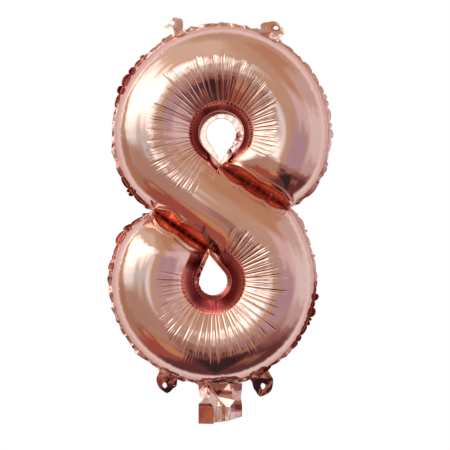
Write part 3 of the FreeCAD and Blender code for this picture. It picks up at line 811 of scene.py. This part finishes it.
def margin_ring():
    """The flange: cut close, folded all along its free edge, and drawn up into lumps in a few places; shade is
    painted on some folds and on the front-turned lumps.
    """
    rng = np.random.default_rng(52)
    lump_rng = np.random.default_rng(58)
    seam, curl, width, shade_level = [], [], [], []
    count = 1600
    for edge, start, stop, marks, sway, radius, crumples in (
        (upper_edge, UPPER_START, UPPER_STOP, UPPER_SCALLOPS, UPPER_SWAY, R_UPPER, UPPER_CRUMPLES),
        (lower_edge, LOWER_START, LOWER_STOP, LOWER_SCALLOPS, LOWER_SWAY, R_LOWER, LOWER_CRUMPLES),
    ):
        theta = np.linspace(start, stop, count, endpoint=False)
        inwards, sideways = seam_ripple(theta, marks, sway)
        point = edge(theta) + towards(theta) * inwards[:, None]
        seam.append(np.stack([point[:, 0], sideways, point[:, 1]], -1))
        folds = spaced(rng, start, stop, math.degrees(FOLDS / radius), 0.6)
        reach = rng.uniform(1.6, 4.2, len(folds))
        turn_out = 1.0 + rng.uniform(0.2, 2.0, len(folds)) * rng.choice([-1.0, 1.0], len(folds))
        width.append(np.interp(theta, folds, reach))
        gap, share, _ = grooves(theta, folds)
        saw = np.where(share < 0.82, share / 0.82, (1 - share) / 0.18) - 0.5
        tooth = -np.cos(np.radians(theta)) * rng.uniform(1.8, 3.4, len(folds))[gap] * saw
        # Painted shade on some folds chosen at random, more often where the flange is crumpled.
        fold_shade = rng.uniform(0.7, 1.0, len(folds))
        crumpled = sum(plateau(apart(theta, middle_angle) / spread_angle)
                       for middle_angle, spread_angle, facing in crumples if facing < 0)
        often = np.interp(folds, theta, crumpled)
        fold_shade = np.where(rng.uniform(0, 1, len(folds)) < 0.15 + 0.7 * often, fold_shade, 0.0)
        shade_level.append(np.interp(theta, folds, fold_shade))
        curl.append(np.interp(theta, folds, turn_out) + 0.4 * tooth * crumpled)
        lumps = spaced(lump_rng, start, stop, math.degrees(LUMPS / radius), 0.65)
        lump, share, _ = grooves(theta, lumps)
        skew = lump_rng.uniform(0.6, 1.6, len(lumps))[lump]
        arch = np.sin(math.pi * share ** skew) ** 0.35
        lump_width = 1.0 + lump_rng.uniform(0.8, 4.2, len(lumps))[lump] * arch
        lump_turn = lump_width * lump_rng.uniform(0.9, 1.3, len(lumps))[lump]
        for middle_angle, spread_angle, facing in crumples:
            here = plateau(apart(theta, middle_angle) / spread_angle)
            width[-1] = width[-1] + (lump_width - width[-1]) * here
            curl[-1] = curl[-1] + (facing * lump_turn - curl[-1]) * here
            shade_level[-1] = shade_level[-1] + ((DARKEST_PAINTED_SHADE if facing < 0 else 0.0) - shade_level[-1]) * here
    seam = np.concatenate(seam)
    shade_level = np.concatenate(shade_level)
    width = np.concatenate(width)
    curl = np.concatenate(curl)
    ring = np.concatenate([seam[-90:], seam, seam[:90]])
    step = blur(np.gradient(ring[:, [0, 2]], axis=0), 16)[90:-90]
    out = np.stack([-step[:, 1], step[:, 0]], -1)
    out /= np.hypot(*out.T)[:, None]
    if out[count // 2] @ (seam[count // 2][[0, 2]] - U) < 0:
        out = -out
    for joint in frame["joints"]:
        root = np.array(joint["pos_m"])[[0, 2]] / MM
        spread = 20.0 if joint["name"] == "neck_flex" else 11.0
        near = plateau(np.hypot(*(seam[:, [0, 2]] - root).T) / spread)
        width = width + (MARGIN * 0.9 - width) * near
        curl = curl * (1 - 0.5 * near)
    to_notch = [np.hypot(*(seam[:, [0, 2]] - notch).T) for notch in (RIGHT_NOTCH, LEFT_NOTCH)]
    width = width * (0.6 + 0.4 * smooth(2.0, 10.0, np.minimum(*to_notch)))
    rows = np.linspace(0, 1, 8)
    spread = width[:, None] * rows
    x = seam[:, :1] + out[:, :1] * spread
    y = seam[:, 1:2] * (1 - rows) + curl[:, None] * rows
    z = seam[:, 2:] + out[:, 1:] * spread
    return np.stack([x, y, z], -1), shade_level[:, None] * smooth(0.15, 0.6, rows)


margin_points, margin_shade_level = margin_ring()
margin = film_sheet(grid_mesh("seal_margin", margin_points, SEALED, loop_u=True, painted_shading=margin_shade_level))
on_envelope(margin, "outer_seal")


# ---- the film margins inside the two holes ----

def hole_margin(seed, seam_line, free_line, rough_at, slope, calm):
    """From the seam in to the free edge: smooth on one side, crumpled about the angle rough_at."""
    rng = np.random.default_rng(seed)
    theta = np.linspace(0, 360, 720, endpoint=False)
    rows = np.linspace(0, 1, 14)
    marks = spaced(rng, 0.0, 360.0, 13.0, 0.45)
    marks = marks * 360.0 / marks[-1]
    fold = rng.normal(0, 1.0, len(marks))
    fold[-1] = fold[0]
    gap, share, _ = grooves(theta, marks)
    peak = rng.uniform(0.3, 0.7, len(marks))[gap]
    tent = np.where(share < peak, share / peak, (1 - share) / (1 - peak))
    rough = calm + 1.2 * plateau(apart(theta, rough_at) / 48.0)
    outer, inner = seam_line(theta), free_line(theta)
    jag = 1 + rough * rng.uniform(-0.10, 0.12, len(marks))[gap] * tent
    tiny = wave_sum(rng, 8, 0.35, 1.1)
    reach = np.hypot(*(outer - inner).T)
    x, z = np.moveaxis(mix(outer[:, None], inner[:, None], rows * jag[:, None]), -1, 0)
    lift = (1.9 * fold[gap] * tent * rough)[:, None] * rows ** 1.2
    y = lift + 0.45 * rough[:, None] * rows * tiny(x, z) + slope * reach[:, None] * rows
    return np.stack([x, y + warp(x, z), z], -1)


# The last column is the level of painted light on each margin: none in the upper hole, a warmer painted reflection
# in the lower.
for name, node, seed, outer, inner, rough_at, slope, calm, shade_level in (
    ("upper_hole_margin", "upper_hole_seal", 61, upper_hole, upper_free, -28.0, 0.0, 0.03, 0.0),
    ("lower_hole_margin", "lower_hole_seal", 67, lower_hole, lower_free, 175.0, -0.28, 0.05, 0.5),
):
    ring = hole_margin(seed, outer, inner, rough_at, slope, calm)
    piece = film_sheet(grid_mesh(name, ring, FOIL, loop_u=True, painted_shading=shade_level))
    on_envelope(piece, node)


# ---- the waist welds ----

def weld_band(seed, start, end):
    rng = np.random.default_rng(seed)
    length = np.hypot(*(end - start))
    direction = (end - start) / length
    across = np.array([-direction[1], direction[0]])
    s = np.linspace(0, length, 240)
    w = np.linspace(-WELD_HALF, WELD_HALF, 9)
    ripple = wave_sum(rng, 6, 0.5, 1.6)
    place = start + s[:, None, None] * direction + w[None, :, None] * across
    middle_part = hump(0, 4, length - 4, length, s)
    wave = (0.3 * ripple(s[:, None], 0.4 * w[None, :]) + 0.9 * w[None, :]) * middle_part[:, None]
    return np.stack([place[..., 0], wave + warp(place[..., 0], place[..., 1]), place[..., 1]], -1)


for name, node, seed, start, end in (
    ("upper_weld_band", "upper_waist_weld", 71, UPPER_POINT, RIGHT_NOTCH),
    ("lower_weld_band", "lower_waist_weld", 73, LEFT_NOTCH, LOWER_POINT),
):
    # The weld bands are painted with maroon shade all over.
    piece = film_sheet(grid_mesh(name, weld_band(seed, start, end), SEALED, painted_shading=1.0))
    on_envelope(piece, node)

for node in ("valve_front_ply", "valve_back_ply"):
    valve = frame["nodes"][node]
    valve.data.materials.clear()
    valve.data.materials.append(CLEAR)


# ---- hanging tabs: die-cut flaps with a punched hole, crumpled by handling ----

def folded(keys, folds, u, v):
    """Carries flat places (u, v) through keys of (u, v, x, y, z); the film between three keys stays flat."""
    flat_keys = [Vector((key[0], key[1])) for key in keys]
    placed = np.array([key[2:] for key in keys], float)
    corners_out, _, triangles, origin, _, _ = delaunay_2d_cdt(flat_keys, folds, [], 0, 1e-6)
    best = np.full(u.shape, -1e9)
    out = np.zeros(u.shape + (placed.shape[1],))
    for triangle in triangles:
        pa, pb, pc = (corners_out[k] for k in triangle)
        qa, qb, qc = (placed[origin[k][0]] for k in triangle)
        det = (pb[0] - pa[0]) * (pc[1] - pa[1]) - (pc[0] - pa[0]) * (pb[1] - pa[1])
        wb = ((u - pa[0]) * (pc[1] - pa[1]) - (pc[0] - pa[0]) * (v - pa[1])) / det
        wc = ((pb[0] - pa[0]) * (v - pa[1]) - (u - pa[0]) * (pb[1] - pa[1])) / det
        wa = 1 - wb - wc
        inside = np.minimum(np.minimum(wa, wb), wc)
        better = inside > best
        best = np.where(better, inside, best)
        out = np.where(better[..., None], wa[..., None] * qa + wb[..., None] * qb + wc[..., None] * qc, out)
    return out


TAB_HALF, TAB_TOP, TAB_FOOT, TAB_HOLE, TAB_RISE = 9.0, 15.0, -4.2, 2.0, 8.2


def tab_grid(squareness):
    """Flat places over a tab, from its punched hole out to its die-cut edge."""
    phi = np.linspace(0, 2 * math.pi, 144, endpoint=False)
    low, high = np.zeros(144), np.full(144, 40.0)
    shoulder = TAB_TOP - TAB_HALF
    for _ in range(40):
        r = (low + high) / 2
        x, y = np.abs(np.cos(phi) * r) / TAB_HALF, TAB_RISE + np.sin(phi) * r
        above = np.maximum(0.0, y - shoulder) / TAB_HALF
        inside = (x ** squareness + above ** squareness < 1) & (y > TAB_FOOT)
        low, high = np.where(inside, r, low), np.where(inside, high, r)
    rows = np.linspace(0, 1, 34) ** 1.1
    r = TAB_HOLE + (low[:, None] - TAB_HOLE) * rows[None, :]
    return np.cos(phi)[:, None] * r, TAB_RISE + np.sin(phi)[:, None] * r


# Foot left, middle, right; side left, centre, side right; end left, middle, right; hole. Each (across, up).
TAB_POINTS = [
    (-9, -4.2), (0, -4.2), (9, -4.2), (-9, 4), (0, 3), (9, 4), (-9, 15), (0, 15), (9, 15), (0, 8.2)]
TAB_FOLDS = [(0, 4), (4, 9), (9, 7), (3, 4), (3, 9), (9, 5), (4, 5), (9, 6), (9, 8)]


def tab_piece(name, node, seed, squareness, lip, rough, shaded_part, placed):
    """One tab, with its folds.

    placed says where the TAB_POINTS go, as (x, y, z) from the hinge; lip curls the hole's edge; the argument
    before placed names where shade is painted, the tab's "end" or the rim of its "hole".
    """
    rng = np.random.default_rng(seed)
    u, v = tab_grid(squareness)
    root = hinge(node + "_flex")
    keys = [point + place for point, place in zip(TAB_POINTS, placed)]
    points = folded(keys, TAB_FOLDS, u, v)
    small = creases(rng, 14, 10.0, 4.5)
    tiny = creases(rng, 20, 10.0, 2.0)
    live = smooth(-3.5, 1.0, v)
    points[..., 1] += rough * live * (small(u, v - 6) + 0.5 * tiny(u, v - 6))
    off = np.hypot(u, v - TAB_RISE) - TAB_HOLE
    points[..., 1] -= lip * np.exp(-off / 1.1)
    ends = np.concatenate([points[-6:], points, points[:6]])
    points = blur(ends, 0.8)[6:-6]
    points = np.moveaxis(blur(np.moveaxis(points, 1, 0), 0.7), 0, 1)
    # Painted shade on the tab's end, or round its hole.
    shade_level = {"end": 0.85 * smooth(1.0, 3.0, v), "hole": 0.95 * smooth(2.6, 1.2, off), "": 0.0}[shaded_part]
    piece = film_sheet(grid_mesh(name, points + root, FOIL, loop_u=True, painted_shading=shade_level))
    modifier_free(piece)
    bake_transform(piece)
    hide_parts(node)


def modifier_free(piece):
    """Applies a piece's modifiers, so that its mesh is final."""
    graph = bpy.context.evaluated_depsgraph_get()
    mesh = bpy.data.meshes.new_from_object(piece.evaluated_get(graph))
    piece.modifiers.clear()
    piece.data = mesh


TOP_LEFT = [
    (-2.7, 0.6, -5.9), (1.8, -0.4, -3.8), (6.3, 0.4, -1.6),
    (-10.5, 5, 4.5), (0.5, 0, 2), (9.5, 3.5, 3),
    (-11, 6.5, 13), (0, 1.8, 13.8), (9.8, 6, 13.4), (-0.7, 0.8, 9.3),
]
TOP_RIGHT = [
    (-8.3, -0.5, -0.6), (-1, 0.5, -4.2), (6.3, -0.6, -7.7),
    (-9, -1, 6.5), (1.5, 0, -1), (13.5, -0.4, -2),
    (-4, 2.2, 11.5), (5.5, 5.6, 10.5), (12.5, 2.4, 7.5), (7, 3.5, 4.3),
]
BOTTOM_LEFT = [
    (-6.3, 0, 7.7), (1.8, -0.8, 3.8), (9.9, 0, -0.1),
    (-10.4, 4.5, -1), (-1, 1.2, 0.5), (9.3, 2.4, -5.5),
    (-9.5, 8.5, -11.5), (-0.5, 9, -15.9), (8.5, 8, -12.5), (-3, 5.2, -8.6),
]
BOTTOM_RIGHT = [
    (-9.9, 0.4, -0.1), (-1.8, -0.8, 3.8), (8, 0, 7.7),
    (-6.5, 3.6, -5), (1.5, 1.4, -1), (13.6, 2.4, -2),
    (-4.5, 8.5, -15), (1.5, 9.5, -19.2), (12.5, 6, -15.2), (4, 5.4, -9),
]
tab_piece("tab_top_left", "top_left_tab", 83, 5.0, 0.3, 0.5, "", TOP_LEFT)
tab_piece("tab_top_right", "top_right_tab", 89, 2.6, 1.3, 0.6, "hole", TOP_RIGHT)
tab_piece("tab_bottom_left", "bottom_left_tab", 97, 2.3, 0.5, 0.8, "end", BOTTOM_LEFT)
tab_piece("tab_bottom_right", "bottom_right_tab", 101, 3.5, 0.0, 0.8, "end", BOTTOM_RIGHT)


# ---- the filling neck: a flattened, crumpled sleeve ----

NECK_HALF = 20.5
# Across, down from the hinge, and depth, at the corners of the front ply's facets.
NECK_KEYS = [
    (-20.5, -4.5, 0.2), (-12, -4.5, 0.5), (8, -4.5, -0.8), (20.5, -4.5, -0.2),
    (-20.5, 3, 0.4), (20.5, 3, -0.3), (-2.2, 8.7, 1.2), (-11, 3.5, -3.6), (10, 3, -3),
    (-20.5, 15, -1), (-9, 14.5, -4.8), (-20.5, 17, 0.4), (-7, 17.5, -3.6),
    (-20.5, 35, 6.2), (-7, 35, 2.4), (-3, 17, -1.6), (-3, 35, -2),
    (1.2, 16.5, -3.4), (1.4, 35, -3.8), (2.8, 16.5, -0.2), (3, 35, 0.6),
    (4.4, 16.5, -3), (4.6, 35, -3.4), (9, 18, -4.4), (9.2, 35, -5.2),
    (14, 11.5, -3.8), (14, 21, -0.6), (20.5, 12, -1.6), (20.5, 21, 0.8), (20.5, 35, -0.2),
    (14, 35, -2.6),
]
NECK_FOLDS = [
    (1, 6), (2, 6), (4, 7), (7, 10), (7, 6), (6, 10), (9, 10), (11, 12), (12, 14), (15, 16), (17, 18),
    (19, 20), (21, 22), (23, 24), (6, 8), (6, 25), (25, 27), (26, 28), (10, 12), (26, 30), (8, 25), (6, 15),
    (6, 17), (6, 19),
]


def patch(value, low, high, soft):
    """1 between low and high, 0 outside them."""
    return hump(low - soft, low + soft, high - soft, high + soft, value)


def neck_piece():
    rng = np.random.default_rng(107)
    root = hinge("neck_flex")
    count = 380
    phi = 2 * math.pi * np.arange(count) / count
    rows = np.linspace(0, 1, 110)
    u = NECK_HALF * np.cos(phi)[:, None] + 0 * rows[None, :]
    u = NECK_HALF * np.sign(u) * np.abs(u / NECK_HALF) ** 0.8
    front = (np.sin(phi) < 0)[:, None]
    stop = np.interp(u[:, 0], [-20.5, -7.0, -5.0, 4.0, 20.5], [34.4, 34.4, 32.6, 31.6, 27.0])
    v = -4.2 + (stop[:, None] + 4.2) * rows[None, :]
    keys = [(a, b, a, y, -b) for a, b, y in NECK_KEYS]
    shape = folded(keys, NECK_FOLDS, u, v)[..., 1]
    sides = [folded(keys, NECK_FOLDS, np.full_like(v, a), v)[..., 1] for a in (-20.45, 20.45)]
    level = mix(sides[0][..., None], sides[1][..., None], (u + NECK_HALF) / (2 * NECK_HALF))[..., 0]
    small = creases(rng, 26, 20.0, 6.0)
    back_folds = creases(rng, 12, 20.0, 10.0)
    edge = np.minimum(1.0, (NECK_HALF - np.abs(u)) / 3.0)
    calm = 1 - 0.85 * smooth(17.0, 19.0, v) * (1 - smooth(-9.0, -6.0, u))
    front_y = shape + 0.7 * small(u, v - 15) * edge * smooth(-3, 2, v) * calm
    over_valve = (1 - smooth(10.0, 14.0, np.abs(u))) * (1 - smooth(2.0, 7.0, v))
    front_y -= (0.8 + front_y[over_valve > 0.8].max()) * over_valve
    bulge = (0.8 + 2.8 * smooth(2, 34, v)) * (1 - (u / NECK_HALF) ** 2)
    back_y = level + bulge + 1.6 * back_folds(u, v - 15) * edge * smooth(-3, 4, v)
    back_y = np.maximum(back_y, front_y + 0.6 * edge + 0.1)
    y = np.where(front, front_y, back_y)
    pinch = 1 - 0.05 * bell((v - 8.0) / 6.0)
    points = np.stack([root[0] + u * pinch, y, root[2] - v], -1)
    points[..., 1] = blur(np.concatenate([points[-8:, :, 1], points[..., 1], points[:8, :, 1]]), 0.9)[8:-8]
    points[..., 1] = blur(points[..., 1].T, 0.7).T
    # Painted shade on the front ply: at the middle of its top, and in four patches over its creases.
    shade_level = 0.80 * smooth(1.5, -1.0, np.abs(u) - 12.0 * (1 - v / 10.0))
    for strength, left, right, soft_across, top, bottom, soft_down in (
        (0.75, -21.0, -6.5, 0.5, 18.0, 36.0, 0.8),
        (0.95, 9.5, 21.0, 0.8, 15.0, 23.0, 0.8),
        (0.95, 12.0, 21.0, 1.0, -6.0, 3.0, 0.8),
        (0.85, -21.0, -14.0, 1.0, -6.0, 4.0, 1.0),
    ):
        shade_level += strength * patch(u, left, right, soft_across) * patch(v, top, bottom, soft_down)
    shade_level = np.clip(shade_level, 0, 1) * front
    sleeve = grid_mesh("filling_neck", points, FOIL, loop_u=True, flip=True, painted_shading=shade_level)
    piece = film_sheet(sleeve, INSIDE)
    modifier_free(piece)
    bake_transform(piece)
    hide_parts("neck_front_ply", "neck_back_ply")


neck_piece()


# ---- floor, light and camera ----

def disc(name, radius, height, material):
    ring = np.linspace(0, 2 * math.pi, 96, endpoint=False)
    rows = np.array([0.001, 0.5, 1.0])
    x = np.cos(ring)[:, None] * rows * radius
    y = np.sin(ring)[:, None] * rows * radius
    z = np.full_like(x, height)
    return grid_mesh(name, np.stack([x, y, z], -1), material, loop_u=True)


FLOOR_RADIUS, FLOOR_HEIGHT = 1150.0, -610.0
floor = disc("floor", FLOOR_RADIUS, FLOOR_HEIGHT, floor_material())
floor.visible_glossy = False

world = bpy.data.worlds.new("studio")
bpy.context.scene.world = world
world.use_nodes = True
tree = world.node_tree
tree.nodes.clear()


def maths(operation, *values):
    return add(tree, "Math", dict(enumerate(values)), operation=operation)


times = partial(maths, "MULTIPLY")


# Azimuth is folded, so that the panels stand behind the balloon as well as in front of it.
heading = add(tree, "TexCoord", {}, "Generated")
split = tree.nodes.new("ShaderNodeSeparateXYZ")
connect(tree, split, {"Vector": heading})
backwards = times(split.outputs["Y"], -1.0)
either_way = maths("ABSOLUTE", split.outputs["Y"])
sway = tree.nodes.new("ShaderNodeSeparateColor")
waver = add(tree, "TexNoise", {"Vector": heading, "Scale": 4.5, "Detail": 3.0}, "Color")
connect(tree, sway, {"Color": waver})
UNEVEN = 18.0
TO_DEGREES = 57.2958


def uneven(angle, channel):
    """The studio's panels and furniture have soft, irregular outlines."""
    shift = times(maths("SUBTRACT", sway.outputs[channel], 0.5), UNEVEN)
    return maths("ADD", angle, shift)


azimuth = uneven(times(maths("ARCTAN2", split.outputs["X"], either_way), TO_DEGREES), "Red")
elevation = uneven(times(maths("ARCSINE", split.outputs["Z"]), TO_DEGREES), "Green")


def rise(value, low, high):
    limits = {"Value": value, "From Min": low, "From Max": high}
    return add(tree, "MapRange", limits, "Result", interpolation_type="SMOOTHSTEP")


def between(value, low, high, soft):
    return times(rise(value, low - soft, low + soft), rise(value, high + soft, high - soft))


def window(az0, az1, el0, el1, soft):
    """1 inside a panel of sky given by azimuth and elevation, 0 outside it."""
    return times(between(azimuth, az0, az1, soft), between(elevation, el0, el1, soft))


def layer(under, mask, colour):
    return add(tree, "Mix", {"Factor": mask, "A": under, "B": (*colour, 1.0)}, "Result", data_type="RGBA")


# The room's own tone, then panels and furniture laid one over another. A panel is given by azimuth
# and elevation in degrees, each low and high, and by the softness of its edge.
sky = add(tree, "RGB", {})
sky.default_value = (0.60, 0.48, 0.37, 1.0)
from_front = times(maths("ARCCOSINE", backwards), TO_DEGREES)
for place, colour in (
    ((-100, 2, 26, 70, 9), (0.78, 0.72, 0.60)),
    ((26, 78, 20, 66, 8), (0.56, 0.37, 0.24)),
    ((48, 112, 12, 40, 8), (0.66, 0.58, 0.55)),
    ((24, 64, 3, 18, 4), (0.75, 0.69, 0.75)),
):
    sky = layer(sky, window(*place), colour)
for level, soft, colour in (
    (-5, 5, (0.55, 0.47, 0.42)),
    (-19, 5, (0.44, 0.29, 0.25)),
    (-29, 5, (0.30, 0.15, 0.14)),
    (-39, 5, (0.14, 0.055, 0.065)),
):
    sky = layer(sky, rise(elevation, level + soft, level - soft), colour)
for place, colour in (
    ((-66, -14, -32, -6, 6), (0.50, 0.37, 0.31)),
    ((-12, 24, -31, -10, 4), (0.40, 0.23, 0.19)),
    ((-110, -22, -56, -32, 5), (0.38, 0.13, 0.10)),
    ((-38, -22, -47, -31, 3), (0.62, 0.36, 0.19)),
    ((-54, -40, -50, -41, 2.5), (0.44, 0.10, 0.12)),
    ((-60, -46, -39, -34, 2), (0.60, 0.36, 0.24)),
    ((24, 58, -64, -50, 5), (0.32, 0.16, 0.12)),
    ((-14, 22, -90, -40, 5), (0.045, 0.03, 0.035)),
    ((10, 52, -18, 3, 4), (0.50, 0.42, 0.53)),
    ((48, 112, -30, -8, 7), (0.62, 0.53, 0.58)),
    ((54, 112, -14, 15, 6), (0.82, 0.86, 0.93)),
    ((-100, -72, -42, 2, 6), (0.48, 0.30, 0.21)),
    ((-46, -6, -4, 9, 4), (0.68, 0.80, 0.85)),
    ((-16, -6, -7, 8, 3), (0.90, 1.05, 1.10)),
    ((-76, -46, -3, 9, 4), (1.00, 1.25, 1.30)),
    ((-84, -27, 8, 33, 5), (2.30, 2.25, 2.20)),
    ((-84, -42, 30, 41, 5), (2.20, 2.15, 2.10)),
    ((-84, -62, 38, 50, 5), (1.60, 1.60, 1.60)),
    ((-30, -4, 9, 26, 4), (2.50, 2.45, 2.40)),
    ((-8, 5, 9, 20, 4), (1.00, 1.20, 1.20)),
    ((-9, 6, -37, -25, 3.5), (0.12, 0.07, 0.075)),
    ((8, 20, -36, -24, 3), (0.42, 0.27, 0.13)),
):
    sky = layer(sky, window(*place), colour)
edge_on = times(rise(from_front, 93.0, 106.0), rise(from_front, 150.0, 134.0))
sky = layer(sky, edge_on, (0.90, 0.92, 0.98))
turned_away = uneven(from_front, "Blue")
shade = times(rise(turned_away, 112.0, 130.0), rise(turned_away, 152.0, 136.0))
sky = layer(sky, shade, (0.76, 0.66, 0.66))

# The camera sees plain white behind the balloon; only its reflections see the studio.
seen = add(tree, "Background", {"Color": (1.0, 1.0, 1.0, 1.0)})
lit = add(tree, "Background", {"Color": sky})
from_camera = add(tree, "LightPath", {}, "Is Camera Ray")
choose = add(tree, "MixShader", {"Fac": from_camera, 1: lit, 2: seen})
connect(tree, tree.nodes.new("ShaderNodeOutputWorld"), {"Surface": choose})

scene = bpy.context.scene
scene.view_settings.view_transform = "Standard"

# In metres; the camera looks straight at the front, at the middle of the photo's frame.
CAMERA_DISTANCE, CAMERA_X, CAMERA_Z, FRAME_WIDTH = 1.8, 0.0035, -0.1904, 0.423
camera_data = bpy.data.cameras.new("camera")
camera_data.sensor_width = 36.0
camera_data.lens = 36.0 * CAMERA_DISTANCE / FRAME_WIDTH
camera = bpy.data.objects.new("camera", camera_data)
scene.collection.objects.link(camera)
camera.location = (CAMERA_X, -CAMERA_DISTANCE, CAMERA_Z)
camera.rotation_euler = (math.pi / 2, 0.0, 0.0)
scene.camera = camera
